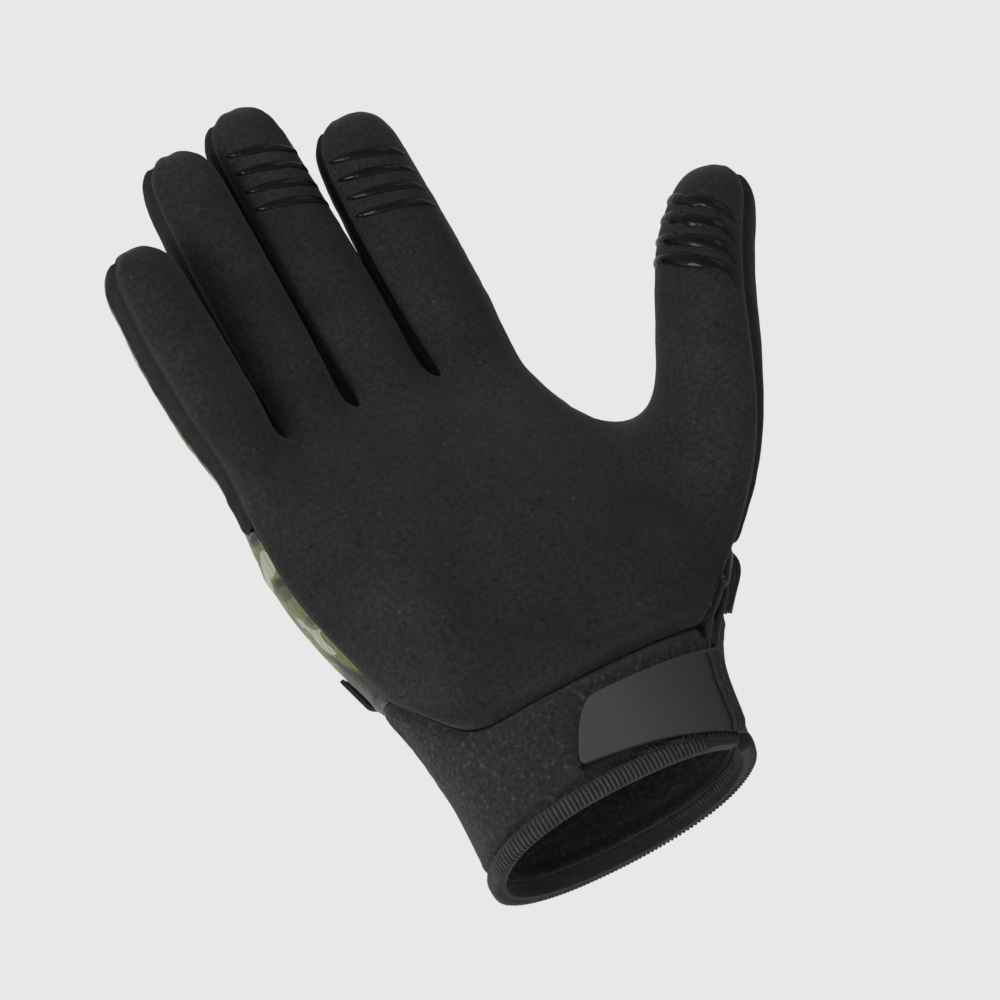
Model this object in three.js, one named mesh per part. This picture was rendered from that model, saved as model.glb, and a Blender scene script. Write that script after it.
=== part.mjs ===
// A right-hand full-finger cycling glove, in the shape that a hand gives it.
// The palm faces -Y, the thumb is towards +X and the fingertips are towards +Z.
// The origin is the middle of the wrist opening, at the lower edge of the cuff.
// Lengths are in millimetres and angles in degrees. Sections hold shares of the sizes named first.
import * as THREE from "three";

// Hand
const palmWidth = 90;
const palmDepth = 40;
const webHeight = 120;
const fingerGap = 1.2;
const middleFingerX = 1.8;

// Fingers, from the little finger to the index finger. forward is how far the knuckle lies from the
// plane of the hand, splay leans the finger to the thumb, roll turns its pad to the thumb, and curl is
// what its three joints bend in all.
const fingers = [
  { name: "little", length: 63.8, width: 21.2, rise: 0, forward: 13, splay: -4.6, roll: 12, curl: 19 },
  { name: "ring", length: 86, width: 22.2, rise: 1.5, forward: 5, splay: -1.4, roll: 4, curl: 13 },
  { name: "middle", length: 92.5, width: 22.8, rise: 2, forward: 2.5, splay: -2, roll: 0, curl: 9 },
  { name: "index", length: 81, width: 24, rise: 0.5, forward: 2.5, splay: -0.6, roll: -8, curl: 9 },
];

// What each joint takes of a finger's curl, and where along the finger it starts and stops bending.
const joints = [
  { part: 0.28, from: -0.3, to: 0.2 },
  { part: 0.32, from: 0.35, to: 0.6 },
  { part: 0.4, from: 0.7, to: 0.95 },
];

// A finger's shape, as shares of its width. Neighbours stand apart by webSpread of their half widths.
const fingerDepth = 0.95;
const fingerRootWidth = 0.95;
const fingerTipTaper = 0.06;
const fingerCap = 0.52;
const webSpread = 0.985;

// Thumb
const thumbLength = 90;
const thumbWidth = 25.6;

// Cuff, closure and edges
const cuffHeight = 35;
const backCuffHeight = 54.5;
const hemHeight = 4.6;
const hemRise = 7;
const hemBulge = 0.4;
const tabLength = 46.5;
const tabSlant = 8;
const tabHeight = 26.8;
const tabBottom = 2.3;
const slitBeadRadius = 1;
const slitBeadDepth = 0.6;
const slitOpening = 1;
const slitWidening = 1.4;
const loopWidth = 4.8;
const loopStand = 2.3;
const sideTapeHeight = 9;
const sideTapeLift = 3;
const stripeEndShare = 0.3;

// Thicknesses and clearances
const palmWall = 1.3;
const backWall = 1.2;
const sideWall = 1.1;
const cuffWall = 2;
const hemWall = 3.2;
const tabThickness = 1.5;
const loopThickness = 1.2;
const stripeThickness = 0.7;
const gap = 0.3;

// Cross-sections of the hand by height. ulnar and radial are the edges away from and next to the thumb,
// as shares of the width; palm and back are the depths, and lean and tuck place the two edges, as shares
// of the depth.
const handSections = [
  { at: 0.0, ulnar: 0.39, radial: 0.405, palm: 0.6, back: 0.6, lean: 0, tuck: 0 },
  { at: 0.11, ulnar: 0.383, radial: 0.43, palm: 0.59, back: 0.57, lean: 0, tuck: 0.02 },
  { at: 0.19, ulnar: 0.383, radial: 0.45, palm: 0.58, back: 0.55, lean: 0, tuck: 0.04 },
  { at: 0.275, ulnar: 0.385, radial: 0.49, palm: 0.575, back: 0.53, lean: 0, tuck: 0.07 },
  { at: 0.34, ulnar: 0.392, radial: 0.55, palm: 0.58, back: 0.51, lean: 0, tuck: 0.12 },
  { at: 0.415, ulnar: 0.425, radial: 0.61, palm: 0.59, back: 0.48, lean: 0.02, tuck: 0.18 },
  { at: 0.52, ulnar: 0.478, radial: 0.6, palm: 0.57, back: 0.45, lean: 0.06, tuck: 0.2 },
  { at: 0.66, ulnar: 0.54, radial: 0.54, palm: 0.52, back: 0.42, lean: 0.1, tuck: 0.16 },
  { at: 0.78, ulnar: 0.575, radial: 0.48, palm: 0.46, back: 0.38, lean: 0.13, tuck: 0.12 },
  { at: 0.88, ulnar: 0.582, radial: 0.455, palm: 0.41, back: 0.35, lean: 0.16, tuck: 0.08 },
  { at: 1.0, ulnar: 0.58, radial: 0.435, palm: 0.36, back: 0.33, lean: 0.18, tuck: 0.06 },
];

// Where the palm's two side seams run by height, in degrees from the palm's middle: edge is on the
// hand's outer side, and slit on the thumb side, where the lower part of the seam is open.
const seamSections = [
  { at: 0, edge: -103, slit: 60 },
  { at: 0.12, edge: -102, slit: 57 },
  { at: 0.2, edge: -100, slit: 56 },
  { at: 0.27, edge: -96, slit: 58.5 },
  { at: 0.34, edge: -89, slit: 68 },
  { at: 0.42, edge: -81, slit: 84 },
  { at: 0.52, edge: -76, slit: 90 },
  { at: 0.8, edge: -74, slit: 90 },
  { at: 0.9, edge: -74, slit: 90 },
  { at: 1, edge: -70, slit: 90 },
];

// Sections of the thumb from its root. step is the way on from the section before and heading its
// direction, facing is where the section faces, both from +X to +Z; forward leans to the palm side
// and twist turns the thumb's pad to the fingers. Lengths are shares of the thumb's length or width.
const thumbRoot = { x: 0.545, y: -0.2, z: 0.587 };
const thumbSections = [
  { step: 0, heading: 20, facing: 18, forward: 20, width: 1.84, depth: 1.14, twist: 6 },
  { step: 0.105, heading: 20, facing: 30, forward: 27, width: 1.74, depth: 1.13, twist: 16 },
  { step: 0.105, heading: 34, facing: 43, forward: 27, width: 1.54, depth: 1.08, twist: 27 },
  { step: 0.1, heading: 58, facing: 55, forward: 20, width: 1.29, depth: 1.03, twist: 37 },
  { step: 0.095, heading: 67, facing: 62, forward: 17, width: 1.12, depth: 1.0, twist: 43 },
  { step: 0.095, heading: 67, facing: 64, forward: 14, width: 1.04, depth: 0.97, twist: 46 },
  { step: 0.095, heading: 66, facing: 64, forward: 11, width: 1.0, depth: 0.95, twist: 48 },
  { step: 0.085, heading: 64, facing: 62, forward: 9, width: 0.99, depth: 0.94, twist: 48 },
  { step: 0.08, heading: 60, facing: 58, forward: 8, width: 0.97, depth: 0.93, twist: 48 },
  { step: 0.075, heading: 52, facing: 52, forward: 8, width: 0.91, depth: 0.89, twist: 48 },
];
const thumbCap = 0.17;

// Grip stripes on the pads. first is how far the top stripe is from the tip and pitch the step to the
// next, as shares of the digit's width; tilt drops the end that is next to the thumb.
const stripeSets = [
  { digit: "index", first: 0.88, pitch: 0.22, count: 4, from: -52, to: 56, tilt: 0.24, breadth: 0.1 },
  { digit: "middle", first: 0.97, pitch: 0.235, count: 4, from: -46, to: 62, tilt: 0.26, breadth: 0.1 },
  { digit: "thumb", first: 0.8, pitch: 0.225, count: 4, from: -62, to: 76, tilt: 0.26, breadth: 0.12 },
];

// Outline of the closure tab, from the slit along the palm side, as shares of its length and height.
// tabSlant is how much shorter its upper edge is than its lower one.
const tabOutline = [
  { along: 0, top: 1, bottom: 0 },
  { along: 0.15, top: 1, bottom: 0.03 },
  { along: 0.3, top: 1, bottom: 0.07 },
  { along: 0.45, top: 1, bottom: 0.12 },
  { along: 0.6, top: 1, bottom: 0.17 },
  { along: 0.78, top: 1, bottom: 0.22 },
  { along: 0.93, top: 1, bottom: 0.25 },
  { along: 0.965, top: 0.985, bottom: 0.265 },
  { along: 0.99, top: 0.94, bottom: 0.305 },
  { along: 1, top: 0.87, bottom: 0.37 },
];

// The pull loop's rows up its tape, as shares of the back cuff's height and of the loop's own sizes.
const loopRows = [
  { height: 0.7, width: 0.7, stand: 0.13 },
  { height: 0.78, width: 0.87, stand: 0.3 },
  { height: 0.86, width: 1, stand: 0.7 },
  { height: 0.92, width: 1, stand: 1 },
  { height: 0.97, width: 0.87, stand: 0.7 },
];

const frontSteps = 6;
const sideSteps = 2;
const digitSteps = 2 * (frontSteps + sideSteps);
const palmSteps = frontSteps * fingers.length;
const ringSteps = 2 * (palmSteps + sideSteps);
const seamColumn = palmSteps + 1;
const firstTurn = -67.5;
const squareness = 2.3;

// Turns between the palm's seams and the panels beyond them, low and high on the hand, in degrees.
const sideTurns = { low: 12, high: 21, from: 0.3, to: 0.8 };
const edgeTurns = { low: 9, high: 21, from: 0.7, to: 0.95 };

// Where a finger widens from its root and narrows to its tip, as shares of its length.
const rootFlare = { from: 0.1, to: 0.45 };
const tipNarrowing = { from: 0.65, to: 1.05 };
const tipTurns = [26, 48, 68];
const fingerSteps = 11;

const radians = THREE.MathUtils.degToRad;
const mix = THREE.MathUtils.lerp;
const ease = THREE.MathUtils.smoothstep;
const vector = (x, y, z) => new THREE.Vector3(x, y, z);
const blend = (a, b, share) => a.clone().lerp(b, share);

// A rounded square wave, so that sections are between an ellipse and a rectangle.
function rounded(value) {
  return Math.sign(value) * Math.abs(value) ** (2 / squareness);
}

// One value of a table at a place between its rows, on a smooth curve.
function along(table, key, place, value) {
  const last = table.length - 1;
  let i = 0;
  while (i < last - 1 && place > table[i + 1][key]) i += 1;
  const row = (n) => table[Math.min(Math.max(n, 0), last)];
  const slope = (n) => {
    const before = row(n - 1);
    const after = row(n + 1);
    return (after[value] - before[value]) / (after[key] - before[key]);
  };
  const width = row(i + 1)[key] - row(i)[key];
  const t = THREE.MathUtils.clamp((place - row(i)[key]) / width, 0, 1);
  const t2 = t * t;
  const t3 = t2 * t;
  return (
    (2 * t3 - 3 * t2 + 1) * row(i)[value] +
    (t3 - 2 * t2 + t) * width * slope(i) +
    (3 * t2 - 2 * t3) * row(i + 1)[value] +
    (t3 - t2) * width * slope(i + 1)
  );
}

// The point of a hand section at a turn from the palm's middle, positive to the thumb.
function handPoint(height, turn) {
  const at = height / webHeight;
  const read = (value) => along(handSections, "at", at, value);
  const ulnarX = -read("ulnar") * palmWidth;
  const radialX = read("radial") * palmWidth;
  const across = rounded(Math.sin(radians(turn)));
  const facing = Math.cos(radians(turn));
  const x = mix(ulnarX, radialX, (across + 1) / 2);
  const middleY = -mix(read("lean"), read("tuck"), (across + 1) / 2) * palmDepth;
  const depth = (facing > 0 ? read("palm") : read("back")) * palmDepth;
  const rise = hemRise * ((1 + facing) / 2) * (1 - ease(height, 0, cuffHeight));
  return vector(x, middleY - rounded(facing) * depth, height + rise);
}

// A smooth curve along a hand section between two turns.
const sectionSteps = 96;
function sectionCurve(height, from, to) {
  const trail = [];
  for (let i = 0; i <= sectionSteps; i += 1) trail.push(handPoint(height, mix(from, to, i / sectionSteps)));
  const curve = new THREE.CatmullRomCurve3(trail);
  curve.arcLengthDivisions = 2 * sectionSteps;
  return curve;
}
function spread(height, from, to, steps) {
  return sectionCurve(height, from, to).getSpacedPoints(steps);
}

// A whole ring of the hand: palm side, thumb side, back and outer side.
function handRing(height) {
  const at = height / webHeight;
  const edge = along(seamSections, "at", at, "edge");
  const slit = along(seamSections, "at", at, "slit");
  const [side, outer] = [sideTurns, edgeTurns].map(({ low, high, from, to }) =>
    mix(low, high, ease(at, from, to)),
  );
  const palm = spread(height, edge, slit - side, palmSteps);
  const back = spread(height, slit + side, 360 + edge - 2 * outer, palmSteps);
  return [...palm, handPoint(height, slit), ...back, handPoint(height, edge - outer)];
}

// The axes of a digit's section: the way it runs, its front and its thumb side.
function sectionAxes(runs, right, roll) {
  const front = right.clone().cross(runs).normalize();
  const turn = radians(roll);
  return {
    runs,
    front: front.clone().multiplyScalar(Math.cos(turn)).addScaledVector(right, Math.sin(turn)),
    right: right.clone().multiplyScalar(Math.cos(turn)).addScaledVector(front, -Math.sin(turn)),
  };
}

// A digit's section. Its ring of points starts beside the pad and runs over it to the thumb side.
function digitRing(centre, axes, width, depth) {
  return Array.from({ length: digitSteps }, (_, k) => {
    const turn = radians(firstTurn + (360 * k) / digitSteps);
    return centre
      .clone()
      .addScaledVector(axes.right, (rounded(Math.sin(turn)) * width) / 2)
      .addScaledVector(axes.front, (rounded(Math.cos(turn)) * depth) / 2);
  });
}

// The rings that close a rounded tip, and the point at its end.
function tipRings(centre, axes, width, depth, length) {
  const rings = tipTurns.map((turn) => {
    const shrink = rounded(Math.cos(radians(turn)));
    const middle = centre.clone().addScaledVector(axes.runs, length * rounded(Math.sin(radians(turn))));
    return digitRing(middle, axes, width * shrink, depth * shrink);
  });
  return { rings, pole: centre.clone().addScaledVector(axes.runs, length) };
}

// Knuckle places follow from the widths, so that neighbours always clear each other.
const middleIndex = fingers.findIndex((f) => f.name === "middle");
function knuckleX(i) {
  let x = middleFingerX;
  const towards = Math.sign(i - middleIndex);
  for (let n = middleIndex; n !== i; n += towards) {
    const [own, next] = [fingers[n], fingers[n + towards]];
    const apart = (webSpread * (own.width + next.width)) / 2 + fingerGap / 2;
    x += towards * Math.sqrt(apart ** 2 - (own.forward - next.forward) ** 2);
  }
  return x;
}

// A finger's rings from the web to the tip.
function fingerRings(finger, i) {
  const tubeLength = finger.length - fingerCap * finger.width;
  const centre = vector(knuckleX(i), -finger.forward, webHeight + finger.rise);
  const splay = radians(finger.splay);
  const right = vector(Math.cos(splay), 0, -Math.sin(splay));
  const rings = [];
  let axes;
  let width;
  for (let n = 0; n <= fingerSteps; n += 1) {
    const at = n / fingerSteps;
    const bent = joints.reduce((sum, { part, from, to }) => sum + part * ease(at, from, to), 0);
    const curl = radians(finger.curl * bent);
    const runs = vector(
      Math.sin(splay) * Math.cos(curl),
      -Math.sin(curl),
      Math.cos(splay) * Math.cos(curl),
    );
    if (n > 0) centre.addScaledVector(runs, tubeLength / fingerSteps);
    axes = sectionAxes(runs, right, finger.roll);
    const flared = ease(at, rootFlare.from, rootFlare.to);
    const narrowed = ease(at, tipNarrowing.from, tipNarrowing.to);
    width = finger.width * (mix(fingerRootWidth, 1, flared) - fingerTipTaper * narrowed);
    rings.push(digitRing(centre, axes, width, width * fingerDepth));
  }
  const cap = tipRings(centre, axes, width, width * fingerDepth, fingerCap * finger.width);
  return { rings: [...rings, ...cap.rings], pole: cap.pole };
}

// A unit way in the plane of the hand, from +X to +Z, that leans to the palm side.
function leaning(angle, forward) {
  const flat = Math.cos(forward);
  return vector(Math.cos(angle) * flat, -Math.sin(forward), Math.sin(angle) * flat);
}

function thumbRings() {
  const centre = vector(thumbRoot.x * palmWidth, thumbRoot.y * palmDepth, thumbRoot.z * webHeight);
  const rings = [];
  let axes;
  let row;
  for (row of thumbSections) {
    const forward = radians(row.forward);
    centre.addScaledVector(leaning(radians(row.heading), forward), row.step * thumbLength);
    const facing = radians(row.facing);
    const runs = leaning(facing, forward);
    const outer = vector(Math.sin(facing), 0, -Math.cos(facing));
    axes = sectionAxes(runs, outer, -row.twist);
    rings.push(digitRing(centre, axes, row.width * thumbWidth, row.depth * thumbWidth));
  }
  const { width, depth } = row;
  const cap = tipRings(centre, axes, width * thumbWidth, depth * thumbWidth, thumbCap * thumbLength);
  return { rings: [...rings, ...cap.rings], pole: cap.pole };
}

// The skin is one net of shared points. Each face belongs to the panel that covers it.
const points = [];
const faces = [];
function keep(point) {
  points.push(point);
  return points.length - 1;
}
function quad(a, b, c, d, panel) {
  faces.push({ corners: [a, b, d], panel }, { corners: [b, c, d], panel });
}

const fingerShapes = fingers.map(fingerRings);
const thumbShape = thumbRings();

// Rows of the hand. Those beside the thumb take their height from the thumb's root section, and the
// seam at the cuff's top is low across the palm and high over the back. It climbs over palmClimb
// columns of the palm's outer side and over backClimb columns of the back beside the slit.
const rootRows = thumbShape.rings[0].slice(0, frontSteps + 1).reverse();
const cuffShares = [0.14, 0.34, 0.56, 0.79, 1];
const lowShares = [0.36, 0.7];
const highShares = [0.27, 0.55, 0.8];
const palmClimb = 8;
const palmSeamBend = 2.1;
const backClimb = 6;
const palmRow = cuffShares.length - 1;
const rootRow = palmRow + lowShares.length + 1;
const rootTop = rootRow + frontSteps;
const webRow = rootTop + highShares.length + 1;
const rootLow = rootRows[0].z;
const rootHigh = rootRows[frontSteps].z;

function rowHeight(row, column) {
  const onPalm = Math.max(1 - column / palmClimb, 0) ** palmSeamBend;
  const high = column < seamColumn ? onPalm : ease(column - seamColumn, 0, backClimb);
  const seam = mix(cuffHeight, backCuffHeight, high);
  const low = mix(rootLow, backCuffHeight + hemHeight, high);
  if (row <= palmRow) return row ? cuffShares[row] * seam : hemHeight + gap;
  if (row < rootRow) return mix(seam, low, lowShares[row - palmRow - 1]);
  if (row <= rootTop) {
    const climbed = (rootRows[row - rootRow].z - rootLow) / (rootHigh - rootLow);
    return mix(low, rootHigh, climbed);
  }
  return mix(rootHigh, webHeight, highShares[row - rootTop - 1]);
}

// The ring at the webs joins the first rings of the four fingers.
const webPoints = [];
const crown = [];
fingerShapes.forEach(({ rings: [first] }, i) => {
  const next = fingerShapes[i + 1]?.rings[0];
  const share = (own, other) => (next ? blend(first[own], next[other], 0.5) : first[own]);
  const firstBack = palmSteps + sideSteps + frontSteps * (fingers.length - 1 - i);
  for (let k = 0; k <= frontSteps; k += 1) {
    if (k > 0 || i === 0) crown[frontSteps * i + k] = first[k];
    if (k < frontSteps || i === 0) crown[firstBack + k] = first[frontSteps + sideSteps + k];
  }
  crown[frontSteps * (i + 1)] = share(frontSteps, 0);
  crown[firstBack] = share(frontSteps + sideSteps, digitSteps - sideSteps);
  webPoints[i] = next ? share(frontSteps + 1, digitSteps - 1) : null;
});
crown[seamColumn] = fingerShapes[fingers.length - 1].rings[0][frontSteps + 1];
crown[ringSteps - 1] = fingerShapes[0].rings[0][digitSteps - 1];

// Hand rows as point numbers. The rows near the webs take on the shape of the fingers.
const ringsByHeight = new Map();
function ringAt(height) {
  const key = height.toFixed(2);
  if (!ringsByHeight.has(key)) ringsByHeight.set(key, handRing(height));
  return ringsByHeight.get(key);
}
const hand = Array.from({ length: webRow }, (_, row) => {
  const towardsWebs = ease(row, rootTop - 1, webRow);
  return crown.map((goal, column) => {
    const height = rowHeight(row, column);
    const point = ringAt(height)[column].clone();
    if (row <= palmRow) return keep(point);
    const lift = mix(height, goal.z, ease(row, rootTop - 2, webRow));
    return keep(blend(point.setZ(lift), goal.clone().setZ(lift), towardsWebs));
  });
});
hand.push(crown.map(keep));
const webs = webPoints.map((point) => (point ? keep(point) : null));

// The thumb's root ring takes the place of the hand's points round the hole it grows from.
const thumbRing = [];
for (let k = 0; k <= frontSteps; k += 1) {
  thumbRing[k] = hand[rootTop - k][seamColumn - 1];
  thumbRing[frontSteps + sideSteps + k] = hand[rootRow + k][seamColumn + 1];
}
thumbRing[frontSteps + 1] = hand[rootRow][seamColumn];
thumbRing[digitSteps - 1] = hand[rootTop][seamColumn];
thumbRing.forEach((number, k) => points[number].copy(thumbShape.rings[0][k]));

function fingerRoot(i) {
  const firstBack = palmSteps + sideSteps + frontSteps * (fingers.length - 1 - i);
  const ring = [];
  for (let k = 0; k <= frontSteps; k += 1) {
    ring[k] = hand[webRow][frontSteps * i + k];
    ring[frontSteps + sideSteps + k] = hand[webRow][firstBack + k];
  }
  ring[frontSteps + 1] = webs[i] ?? hand[webRow][seamColumn];
  ring[digitSteps - 1] = i > 0 ? webs[i - 1] : hand[webRow][ringSteps - 1];
  return ring;
}

const digits = {};
fingerShapes.forEach(({ rings, pole }, i) => {
  digits[fingers[i].name] = {
    rows: [fingerRoot(i), ...rings.slice(1).map((ring) => ring.map(keep))],
    pole: keep(pole),
  };
});
digits.thumb = {
  rows: [thumbRing, ...thumbShape.rings.slice(1).map((ring) => ring.map(keep))],
  pole: keep(thumbShape.pole),
};

// Which panel covers a piece of the hand, by row and column.
function handPanel(row, column) {
  const onUlnarEdge = column >= ringSteps - sideSteps;
  if (row < palmRow) return column < seamColumn || onUlnarEdge ? "cuff_palm_side" : "cuff_back";
  if (column < seamColumn) return "palm_panel";
  return onUlnarEdge && row > rootTop ? "outer_side_strip" : "back_panel";
}

const thumbHole = (row, column) =>
  row >= rootRow && row < rootTop && (column === seamColumn - 1 || column === seamColumn);

for (let row = 0; row < webRow; row += 1) {
  for (let column = 0; column < ringSteps; column += 1) {
    if (thumbHole(row, column)) continue;
    const next = (column + 1) % ringSteps;
    const panel = handPanel(row, column);
    quad(hand[row][column], hand[row][next], hand[row + 1][next], hand[row + 1][column], panel);
  }
}

function digitPanel(name, k) {
  if (name === "thumb") return k <= frontSteps || k === digitSteps - 1 ? "palm_panel" : "thumb_back";
  const i = fingers.findIndex((f) => f.name === name);
  if (k < frontSteps) return "palm_panel";
  if (k < frontSteps + sideSteps) {
    if (i === fingers.length - 1) return k === frontSteps ? "palm_panel" : "back_panel";
    return "side_strip_" + name + "_" + fingers[i + 1].name;
  }
  if (k < digitSteps - sideSteps) return "back_panel";
  return i === 0 ? "outer_side_strip" : "side_strip_" + fingers[i - 1].name + "_" + name;
}

for (const [name, { rows, pole }] of Object.entries(digits)) {
  for (let row = 0; row < rows.length - 1; row += 1) {
    for (let k = 0; k < digitSteps; k += 1) {
      const next = (k + 1) % digitSteps;
      quad(rows[row][k], rows[row][next], rows[row + 1][next], rows[row + 1][k], digitPanel(name, k));
    }
  }
  const last = rows[rows.length - 1];
  last.forEach((number, k) => {
    faces.push({ corners: [number, last[(k + 1) % digitSteps], pole], panel: "palm_panel" });
  });
}

// The net is eased round the webs and the thumb's root, where the sections meet. Each round draws a
// point towards the middle of its neighbours by its strength.
const easingRounds = 5;
const handStrength = 0.3;
const knuckleStrength = 0.5;
const webStrength = 0.15;
const fingerStrengths = [0.35, 0.3, 0.2];
const thumbStrengths = [0.5, 0.5, 0.5, 0.4, 0.25];
const easing = new Map();
function easeRow(numbers, strength) {
  numbers.forEach((number) => easing.set(number, Math.max(strength, easing.get(number) ?? 0)));
}
hand.forEach((numbers, row) => {
  const own = row < rootRow ? numbers.filter((_, column) => column !== seamColumn) : numbers;
  if (row > palmRow) easeRow(own, row >= rootTop ? knuckleStrength : handStrength);
});
webs.filter((number) => number !== null).forEach((number) => easing.set(number, webStrength));
Object.entries(digits).forEach(([name, { rows }]) => {
  const strengths = name === "thumb" ? thumbStrengths : fingerStrengths;
  strengths.forEach((strength, row) => row > 0 && easeRow(rows[row], strength));
});
thumbRing.forEach((number) => easing.set(number, knuckleStrength));

const neighbours = points.map(() => new Set());
faces.forEach(({ corners }) => {
  corners.forEach((number, n) => {
    neighbours[number].add(corners[(n + 1) % 3]);
    neighbours[number].add(corners[(n + 2) % 3]);
  });
});
for (let round = 0; round < easingRounds; round += 1) {
  const before = points.map((p) => p.clone());
  easing.forEach((strength, number) => {
    const middle = vector(0, 0, 0);
    neighbours[number].forEach((n) => middle.add(before[n]));
    middle.divideScalar(neighbours[number].size);
    points[number].lerp(middle, strength);
  });
}

// Outward normals of the skin at its points.
const normals = points.map(() => vector(0, 0, 0));
faces.forEach(({ corners: [a, b, c] }) => {
  const normal = points[b].clone().sub(points[a]).cross(points[c].clone().sub(points[a]));
  [a, b, c].forEach((number) => normals[number].add(normal));
});
normals.forEach((normal) => normal.normalize());

// The slit runs up the seam column. Panels beside it stay back from it by the bound edges' breadth.
const slitRows = hand.slice(0, rootRow).map((numbers) => numbers[seamColumn]);
const slitTop = slitRows[slitRows.length - 1];
const slitHalf = (row) => (slitOpening / 2) * (1 + slitWidening * ease(row, 1, palmRow + 1));
const slitInset = (row) => slitHalf(row) + 2 * slitBeadRadius + gap;
function slitAcross(row) {
  const below = points[hand[Math.max(row - 1, 0)][seamColumn]];
  const run = points[hand[row + 1][seamColumn]].clone().sub(below);
  return normals[slitRows[row]].clone().cross(run).normalize();
}

function geometryOf(corners, triangles) {
  const geometry = new THREE.BufferGeometry();
  const numbers = corners.flatMap((point) => [point.x, point.y, point.z]);
  geometry.setAttribute("position", new THREE.Float32BufferAttribute(numbers, 3));
  geometry.setIndex(triangles.flat());
  return geometry;
}

// A closed sheet of cloth: the panel's faces, the same faces one wall further in, and its edges. Where
// a seam runs straight on through a point, the sides of its two edges share the inset.
const straightOn = 0.4;
function panelGeometry(panel, thickness, seamInset = gap / 2) {
  const own = faces.filter((face) => face.panel === panel).map((face) => face.corners);
  const edges = new Map();
  own.forEach((corners) =>
    corners.forEach((a, n) => {
      const b = corners[(n + 1) % 3];
      if (!edges.delete(b + "_" + a)) edges.set(a + "_" + b, [a, b]);
    }),
  );
  const seamSides = new Map();
  edges.forEach(([a, b]) => {
    if (a === slitTop || b === slitTop || (slitRows.includes(a) && slitRows.includes(b))) return;
    const run = points[b].clone().sub(points[a]);
    [a, b].forEach((number) => {
      const inwards = normals[number].clone().cross(run).normalize();
      seamSides.set(number, [...(seamSides.get(number) ?? []), inwards]);
    });
  });
  const order = [...new Set(own.flat())];
  const place = new Map(order.map((number, n) => [number, n]));
  const slitSide = panel === "palm_panel" || panel === "cuff_palm_side" ? 1 : -1;
  const outer = order.map((number) => {
    const point = points[number].clone();
    const sides = seamSides.get(number) ?? [];
    const straight = sides.length === 2 && sides[0].dot(sides[1]) > straightOn;
    sides.forEach((inwards) => point.addScaledVector(inwards, straight ? seamInset / 2 : seamInset));
    const row = slitRows.indexOf(number);
    if (row >= 0) point.addScaledVector(slitAcross(row), slitSide * slitInset(row));
    return point;
  });
  const inner = outer.map((point, n) => point.clone().addScaledVector(normals[order[n]], -thickness));
  const count = order.length;
  const triangles = own.flatMap((corners) => {
    const [a, b, c] = corners.map((number) => place.get(number));
    return [
      [a, b, c],
      [c + count, b + count, a + count],
    ];
  });
  edges.forEach(([from, to]) => {
    const a = place.get(from);
    const b = place.get(to);
    triangles.push([b, a, a + count], [b, a + count, b + count]);
  });
  return geometryOf([...outer, ...inner], triangles);
}

// A grid of points as one closed plate: its outer face, its inner face and the four edges.
function plateGeometry(outer, inner) {
  const rows = outer.length;
  const columns = outer[0].length;
  const corners = [...outer.flat(), ...inner.flat()];
  const at = (row, column, side) => side * rows * columns + row * columns + column;
  const triangles = [];
  const face = (a, b, c, d) => triangles.push([a, b, c], [a, c, d]);
  const lastRow = rows - 1;
  const lastColumn = columns - 1;
  for (let row = 0; row < lastRow; row += 1) {
    const up = row + 1;
    for (let column = 0; column < lastColumn; column += 1) {
      const next = column + 1;
      face(at(row, column, 0), at(row, next, 0), at(up, next, 0), at(up, column, 0));
      face(at(row, column, 1), at(up, column, 1), at(up, next, 1), at(row, next, 1));
    }
    face(at(row, 0, 1), at(row, 0, 0), at(up, 0, 0), at(up, 0, 1));
    face(at(row, lastColumn, 0), at(row, lastColumn, 1), at(up, lastColumn, 1), at(up, lastColumn, 0));
  }
  for (let column = 0; column < lastColumn; column += 1) {
    const next = column + 1;
    face(at(0, column, 1), at(0, next, 1), at(0, next, 0), at(0, column, 0));
    face(at(lastRow, column, 0), at(lastRow, next, 0), at(lastRow, next, 1), at(lastRow, column, 1));
  }
  return geometryOf(corners, triangles);
}

// The cuff's surface at a way along the palm side from the slit, at a height, lifted off by some height.
const fineTurn = 0.5;
function cuffPoint(away, height, lifted) {
  let turn = along(seamSections, "at", height / webHeight, "slit");
  let walked = 0;
  let here = handPoint(height, turn);
  while (walked < Math.abs(away)) {
    turn -= Math.sign(away) * fineTurn;
    const next = handPoint(height, turn);
    walked += next.distanceTo(here);
    here = next;
  }
  const run = handPoint(height, turn + fineTurn).sub(handPoint(height, turn - fineTurn));
  const rise = handPoint(height + 1, turn).sub(handPoint(height - 1, turn));
  return here.addScaledVector(run.cross(rise).normalize(), lifted);
}

const root = new THREE.Group();
function add(name, geometry, look) {
  const mesh = new THREE.Mesh(geometry, look);
  mesh.name = name;
  root.add(mesh);
}
const cloth = (colour, roughness) =>
  new THREE.MeshStandardMaterial({ color: colour, roughness, metalness: 0 });
const looks = {
  suede: cloth(0x262626, 0.95),
  print: cloth(0x6f7458, 0.9),
  side: cloth(0x1c1c1d, 0.85),
  cuff: cloth(0x2b2b2c, 0.95),
  binding: cloth(0x1d1d1e, 0.8),
  rubber: cloth(0x414244, 0.55),
  silicone: cloth(0x0d0d0e, 0.25),
};

add("palm_panel", panelGeometry("palm_panel", palmWall), looks.suede);
add("back_panel", panelGeometry("back_panel", backWall), looks.print);
add("thumb_back", panelGeometry("thumb_back", backWall), looks.side);
add("outer_side_strip", panelGeometry("outer_side_strip", sideWall), looks.side);
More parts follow.
